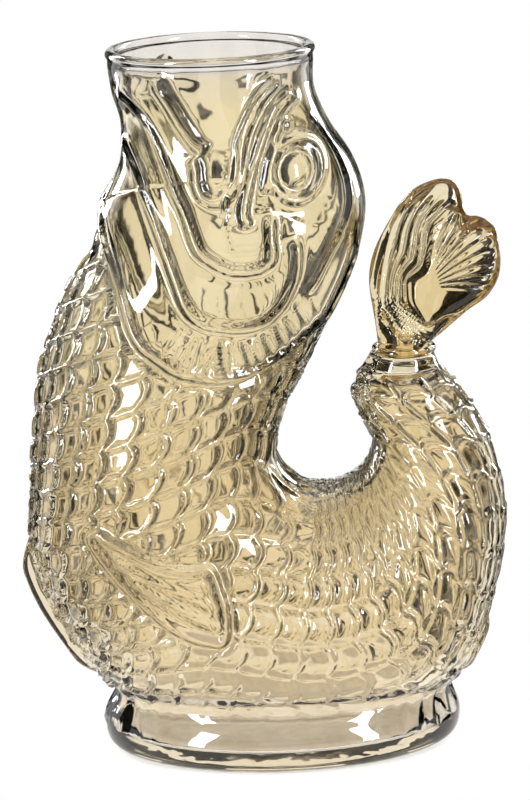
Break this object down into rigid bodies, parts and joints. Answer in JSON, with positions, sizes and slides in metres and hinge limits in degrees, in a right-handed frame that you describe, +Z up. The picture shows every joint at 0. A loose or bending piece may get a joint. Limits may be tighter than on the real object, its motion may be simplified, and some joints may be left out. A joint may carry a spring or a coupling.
{
  "type": "water carafe",
  "caption": "Fish-shaped blown glass carafe standing on an oval foot, with an open round mouth to pour from and a curled-up tail as the grip.",
  "frame": {"origin": "centre of the oval foot's underside, on the surface that the carafe stands on", "axes": "+Z up through the mouth, +X from the head towards the tail, Y across the fish from flank to flank"},
  "size_m": [0.1797, 0.108, 0.262],
  "materials": {
    "blown_glass": "glossy mould-blown glass in a pale champagne tint",
    "bead_glass": "glossy fire-polished glass in the body's tint",
    "fin_glass": "glossy solid glass, deeper amber because it is thick"
  },
  "bodies": {
    "root": {"glass_body": "blown_glass", "tail_bead": "bead_glass", "tail_fin": "fin_glass"}
  },
  "joints": []
}
